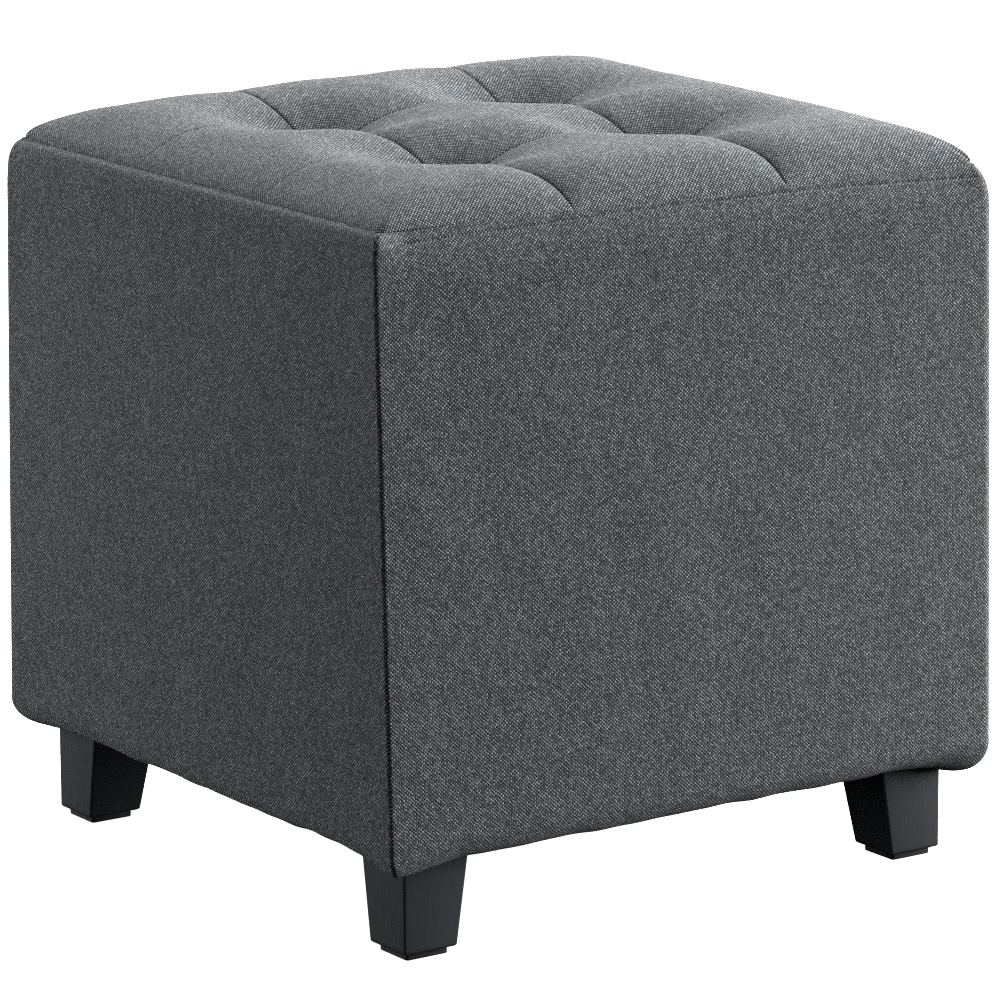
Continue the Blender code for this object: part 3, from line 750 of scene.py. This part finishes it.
def makeSide(name, facts, turn):
    # the section swept between two mitres: swelled, drawn in at the corner seams, its hem pulled and sagging
    depth, height, roll, soft = [values[None, :] for values in sideProfile()]
    station = sideStations()[:, None]
    toCorner = (1.0 - np.abs(station)) * pouf["bodyHalf"]
    sag, radius, cornerPower = [
        np.where(station < 0.0, *[cornerTable[corner][fact] for corner in facts["corners"]])
        for fact in ("sag", "radius", "power")
    ]
    power = cornerPower + (facts["power"] - cornerPower) * smoothStep(0.0, side["powerReach"], toCorner)
    depth, height = squareShoulder(depth, height, roll, power)
    depth = depth + soft * side["swell"] * (1.0 - station ** 2) * np.sin(math.pi * riseShare(height))
    nearTop = np.clip((pouf["seamZ"] - height) / side["shoulder"], 0.0, 1.0)
    depth = depth - soft * side["cornerSeamDepth"] * np.exp(-toCorner / side["cornerSeamWidth"]) * nearTop
    if name == "Front":
        depth, height = leanFront(depth, height, roll, toCorner)
    hang = np.clip((side["earTopZ"] - height) / (side["earTopZ"] - pouf["underZ"]), 0.0, 1.0) ** 2
    seed = int(turn)
    awayFromCorner = smoothStep(*side["pullRange"], toCorner)
    pull = side["hemPull"] * softNoise(station * pouf["bodyHalf"], 0.0, seed + 1, *side["hemWaves"])
    drop = sag * np.exp(-(toCorner / side["earReach"]) ** 2) + (pull - facts["lift"]) * awayFromCorner
    level = height - soft * drop * hang
    radius = radius + (side["seamCornerRadius"] - radius) * (1.0 - np.cos(0.5 * math.pi * roll))
    x, y = roundedSquare(station, depth, np.where(soft > 0.0, radius, 0.0))
    points = np.stack((x - station * pouf["gap"] / math.sqrt(2.0), -y, level), axis=-1)

    # relief along the surface's own normal, from the cross product of its two directions
    normal = np.cross(np.gradient(points, axis=0), np.gradient(points, axis=1))
    normal /= np.maximum(np.linalg.norm(normal, axis=-1, keepdims=True), 1e-12)
    faceUv = np.stack((arcLength(points, 0), arcLength(points, 1)), axis=-1)
    fromSeam = faceUv[:, -2:-1, 1] - faceUv[..., 1]
    relief = sideRelief(name, facts["bead"], station, toCorner, height, level, points, fromSeam, seed + 2)
    points = points + normal * (relief * soft)[..., None]

    points = points @ np.array(Matrix.Rotation(math.radians(turn), 3, "Z")).T
    points = twisted(points)
    rows, columns = points.shape[:2]
    quads = gridQuads(rows, columns, closed=True)
    caps = [np.arange(columns)[::-1], (rows - 1) * columns + np.arange(columns)]
    piece = addPiece(f"side{name}", points.reshape(-1, 3), quads, caps, faceUv.reshape(-1, 2), linenMaterial,
                     [f"side_panel_{name.lower()}"], pouf["sharpAngle"])


for quarter, (sideName, sideFacts) in enumerate(sideTable.items()):
    makeSide(sideName, sideFacts, 90.0 * quarter)


# Legs and glides: blocks with rounded edges, slanted in on their two inner faces.
leg = {
    "edge": 0.0016,             # rounding of the long edges
    "footEdge": 0.0014,
    "glideInset": 0.0038,       # the glide is this much smaller than the foot all round
    "glideEdge": 0.0007,
    "arcSteps": 6,
    "heightSteps": 24,
    "sharpAngle": 40.0,
}


def roundedBlock(low, high, edge, footEdge, footLow, footHigh):
    # rings of a round-cornered rectangle from the top down, its extents easing from low/high to the foot's
    turns = np.linspace(0.0, 0.5 * math.pi, leg["arcSteps"] + 1)
    arc = []
    for signX, signY, start in ((1, 1, 0.0), (-1, 1, 0.5), (-1, -1, 1.0), (1, -1, 1.5)):
        angle = turns + start * math.pi
        signs = np.full_like(turns, signX), np.full_like(turns, signY)
        arc.append(np.stack((*signs, np.cos(angle), np.sin(angle)), axis=-1))
    arc = np.concatenate(arc)
    straight = np.linspace(high[2], low[2] + footEdge, leg["heightSteps"])
    heights = np.concatenate((straight, low[2] + footEdge * (1.0 - np.sin(turns[1:]))))
    inset = np.concatenate((np.zeros(leg["heightSteps"]), footEdge * (1.0 - np.cos(turns[1:]))))
    share = (high[2] - heights) / (high[2] - low[2])
    rings = []
    for axis in (0, 1):
        lowSide = low[axis] + (footLow[axis] - low[axis]) * share + inset
        highSide = high[axis] + (footHigh[axis] - high[axis]) * share - inset
        middle = np.where(arc[None, :, axis] > 0.0, highSide[:, None] - edge, lowSide[:, None] + edge)
        rings.append(middle + edge * arc[None, :, axis + 2])
    return np.stack((rings[0], rings[1], np.broadcast_to(heights[:, None], rings[0].shape)), axis=-1)


def addBlock(name, rings, material, node):
    # the rings joined into one closed piece, its uv the lengths round it and down it
    rows, columns = rings.shape[:2]
    quads = gridQuads(rows, columns, closed=True)
    caps = [np.arange(columns), (rows - 1) * columns + np.arange(columns)[::-1]]
    uv = np.stack((arcLength(rings, 1), arcLength(rings, 0)), axis=-1).reshape(-1, 2)
    return addPiece(name, rings.reshape(-1, 3), quads, caps, uv, material, [node], leg["sharpAngle"])


# Rubberwood under black satin lacquer: near black, cool, with a soft highlight on its rounded edges.
lacquer = {
    "colour": "#2b3237",
    "ior": 1.5,
    "grainWidth": 0.001111,     # of a pore, across the wood's grain
    "grainStretch": (1.0, 1.0, 0.08),   # below 1 the pores are drawn out along the leg
    "grainRange": (0.3, 0.7),
    "roughness": (0.42, 0.48),  # satin: least and most, varied with the grain
    "relief": 0.0001,
    "reliefStrength": 0.02,
}


def makeLacquer():
    material, tree, shader = newMaterial("blackLacqueredWood", {
        "Base Color": hexColour(lacquer["colour"]), "IOR": lacquer["ior"],
    })
    place = addNode(tree, "ShaderNodeTexCoord", out="Object")
    drawnOut = addNode(tree, "ShaderNodeMapping", {"Vector": place, "Scale": lacquer["grainStretch"]},
                       "Vector")
    grain = addNode(tree, "ShaderNodeTexNoise", {
        "Vector": drawnOut, "Scale": 1.0 / lacquer["grainWidth"], "Detail": 4.0,
    }, "Fac")
    faint, strong = lacquer["grainRange"]
    smoothest, roughest = lacquer["roughness"]
    gloss = addNode(tree, "ShaderNodeMapRange", {
        "Value": grain, "From Min": faint, "From Max": strong, "To Min": smoothest, "To Max": roughest,
    }, "Result")
    tree.links.new(gloss, shader.inputs["Roughness"])
    bump = addNode(tree, "ShaderNodeBump", {
        "Height": grain, "Strength": lacquer["reliefStrength"], "Distance": lacquer["relief"],
    }, "Normal")
    tree.links.new(bump, shader.inputs["Normal"])
    return material


# Moulded polyethylene: matt black with a fine spark-eroded grain.
glidePlastic = {
    "colour": "#0c0d0f",
    "roughness": 0.55,
    "ior": 1.5,
    "grainSize": 0.0004,
    "relief": 0.00005,
    "reliefStrength": 0.3,
}


def makeGlidePlastic():
    material, tree, shader = newMaterial("glidePlastic", {
        "Base Color": hexColour(glidePlastic["colour"]), "Roughness": glidePlastic["roughness"],
        "IOR": glidePlastic["ior"],
    })
    place = addNode(tree, "ShaderNodeTexCoord", out="Object")
    grain = addNode(tree, "ShaderNodeTexNoise", {
        "Vector": place, "Scale": 1.0 / glidePlastic["grainSize"], "Detail": 2.0,
    }, "Fac")
    bump = addNode(tree, "ShaderNodeBump", {
        "Height": grain, "Strength": glidePlastic["reliefStrength"], "Distance": glidePlastic["relief"],
    }, "Normal")
    tree.links.new(bump, shader.inputs["Normal"])
    return material


# Spun-bonded polypropylene: thin black cloth with fused dots in diagonal rows, dull and slightly cloudy.
dustCloth = {
    "darkColour": "#121314",
    "lightColour": "#232527",
    "roughness": 0.95,
    "ior": 1.49,
    "sheen": 0.1,
    "cloudSize": 0.008333,
    "dotSpacing": 0.002,
    "dotTurn": 45.0,            # degrees that the rows of dots run across the pouf
    "relief": 0.0002,
    "reliefStrength": 0.4,
}


def makeDustCloth():
    material, tree, shader = newMaterial("dustCloth", {
        "Roughness": dustCloth["roughness"], "IOR": dustCloth["ior"], "Sheen Weight": dustCloth["sheen"],
    })
    place = addNode(tree, "ShaderNodeTexCoord", out="Object")
    cloud = addNode(tree, "ShaderNodeTexNoise", {
        "Vector": place, "Scale": 1.0 / dustCloth["cloudSize"], "Detail": 5.0,
    }, "Fac")
    colour = addNode(tree, "ShaderNodeMix", {
        "Factor": cloud, 6: hexColour(dustCloth["darkColour"]), 7: hexColour(dustCloth["lightColour"]),
    }, 2, data_type="RGBA")
    tree.links.new(colour, shader.inputs["Base Color"])
    turned = addNode(tree, "ShaderNodeMapping", {
        "Vector": place, "Rotation": (0.0, 0.0, math.radians(dustCloth["dotTurn"])),
    }, "Vector")
    dots = addNode(tree, "ShaderNodeTexVoronoi", {
        "Vector": turned, "Scale": 1.0 / dustCloth["dotSpacing"], "Randomness": 0.0,
    }, "Distance")
    bump = addNode(tree, "ShaderNodeBump", {
        "Height": dots, "Strength": dustCloth["reliefStrength"], "Distance": dustCloth["relief"],
    }, "Normal")
    tree.links.new(bump, shader.inputs["Normal"])
    return material


def makeLeg(cornerName, signX, signY, materials):
    # a leg from its solid's box down to the foot, which is kept to the outer corner, and its glide
    pieceName = "".join(word.capitalize() for word in cornerName.split("_"))
    glideLow, glideHigh = [np.array(corner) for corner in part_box(f"glide_{cornerName}")]
    footWidth = glideHigh[0] - glideLow[0] + 2.0 * leg["glideInset"]
    low, high = [np.array(corner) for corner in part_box(f"leg_{cornerName}")]
    footLow, footHigh = [], []
    for axis, sign in enumerate((signX, signY)):
        outer = high[axis] if sign > 0 else low[axis]
        footLow.append(min(outer, outer - sign * footWidth))
        footHigh.append(max(outer, outer - sign * footWidth))
    rings = roundedBlock(low, high, leg["edge"], leg["footEdge"], footLow, footHigh)
    addBlock(f"leg{pieceName}", rings, materials[0], f"leg_{cornerName}")
    rings = roundedBlock(glideLow, glideHigh, leg["edge"], leg["glideEdge"], glideLow, glideHigh)
    addBlock(f"glide{pieceName}", rings, materials[1], f"glide_{cornerName}")


legMaterials = makeLacquer(), makeGlidePlastic()
for legCorner in (("front_left", -1, -1), ("front_right", 1, -1), ("back_left", -1, 1), ("back_right", 1, 1)):
    makeLeg(*legCorner, legMaterials)

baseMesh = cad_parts["base_panel"].data
baseMesh.materials.clear()
baseMesh.materials.append(makeDustCloth())
print("base dressed")


# Floor, light and camera.
studio = {
    "floorColour": "#d9d9d9",
    "floorRoughness": 0.9,
    "glowColour": "#ffffff",
    "floorGlow": 1.0,
    "floorSize": 30.0,
    "worldColour": "#ffffff",
    "worldStrength": 0.01,
    "pixelFilter": 1.2,         # narrower than usual, as a wide one smears the weave
    # place, size in metres, watts
    "lights": {
        "highRight": ((1.3, 0.2, 2.0), 1.2, 35.0),
        "highBack": ((1.6, 1.6, 1.8), 1.4, 22.0),
        "back": ((0.1, 2.6, 1.3), 1.2, 50.0),
        "right": ((2.3, 0.2, 1.0), 1.4, 80.0),
        "rightLow": ((2.2, -0.9, 0.5), 1.0, 70.0),
        "rightFront": ((1.9, -1.9, 1.1), 1.4, 34.0),
        "front": ((-0.3, -2.6, 1.2), 1.4, 8.0),
        "backLeftLow": ((-1.6, 2.0, 0.6), 1.0, 38.0),
        "left": ((-2.4, -0.6, 0.8), 1.2, 4.0),
    },
    "aim": (0.0, 0.0, 0.25),
}

camera = {
    "azimuth": -34.43,
    "elevation": 12.56,
    "roll": -0.31,
    "distance": 3.185,
    "rightOffset": 0.0048,
    "aimHeight": 0.1973,
    "focalPixels": 5578.0,      # focal length, in pixels of a frame this wide:
    "framePixels": 1000.0,
    "sensorWidth": 36.0,        # millimetres
    "clipEnd": 100.0,
}


def makeStudio():
    # a pale floor that glows as white as the photograph's ground, a faint world and area lamps
    floorMesh = bpy.data.meshes.new("floor")
    half = studio["floorSize"] / 2.0
    corners = [(-half, -half, 0.0), (half, -half, 0.0), (half, half, 0.0), (-half, half, 0.0)]
    floorMesh.from_pydata(corners, [], [(0, 1, 2, 3)])
    floor = bpy.data.objects.new("floor", floorMesh)
    bpy.context.scene.collection.objects.link(floor)
    floorMesh.materials.append(newMaterial("floorPaper", {
        "Base Color": hexColour(studio["floorColour"]), "Roughness": studio["floorRoughness"],
        "Emission Color": hexColour(studio["glowColour"]), "Emission Strength": studio["floorGlow"],
    })[0])
    floor.visible_diffuse = False      # the pale floor doesn't brighten the sides and legs from below
    floor.visible_glossy = False
    world = bpy.data.worlds.new("studioWorld")
    world.use_nodes = True
    background = world.node_tree.nodes["Background"]
    background.inputs["Color"].default_value = hexColour(studio["worldColour"])
    background.inputs["Strength"].default_value = studio["worldStrength"]
    bpy.context.scene.world = world
    for name, (place, size, power) in studio["lights"].items():
        light = bpy.data.lights.new(name, "AREA")
        light.size = size
        light.energy = power
        lamp = bpy.data.objects.new(name, light)
        lamp.location = place
        lamp.rotation_euler = (Vector(studio["aim"]) - lamp.location).to_track_quat("-Z", "Y").to_euler()
        lamp.visible_camera = False
        bpy.context.scene.collection.objects.link(lamp)


def makeCamera():
    # turned round the upright axis, lifted, then rolled about its own line of sight
    azimuth, elevation, roll = [math.radians(camera[key]) for key in ("azimuth", "elevation", "roll")]
    right = Vector((math.cos(azimuth), math.sin(azimuth), 0.0))
    level = math.cos(elevation)
    back = Vector((math.sin(azimuth) * level, -math.cos(azimuth) * level, math.sin(elevation)))
    up = back.cross(right)
    rolledRight = right * math.cos(roll) + up * math.sin(roll)
    rolledUp = up * math.cos(roll) - right * math.sin(roll)
    eye = right * camera["rightOffset"] + Vector((0.0, 0.0, camera["aimHeight"])) + back * camera["distance"]
    lens = bpy.data.cameras.new("camera")
    lens.sensor_width = camera["sensorWidth"]
    lens.lens = camera["focalPixels"] * camera["sensorWidth"] / camera["framePixels"]
    lens.clip_end = camera["clipEnd"]
    view = bpy.data.objects.new("camera", lens)
    columns = (rolledRight, rolledUp, back, eye)
    view.matrix_world = Matrix([[column[i] for column in columns] for i in range(3)] + [(0.0, 0.0, 0.0, 1.0)])
    bpy.context.scene.collection.objects.link(view)
    bpy.context.scene.camera = view


makeStudio()
makeCamera()
bpy.context.scene.view_settings.view_transform = "Standard"
bpy.context.scene.cycles.use_denoising = False      # it would smear the weave
bpy.context.scene.cycles.filter_width = studio["pixelFilter"]
print("studio ready")
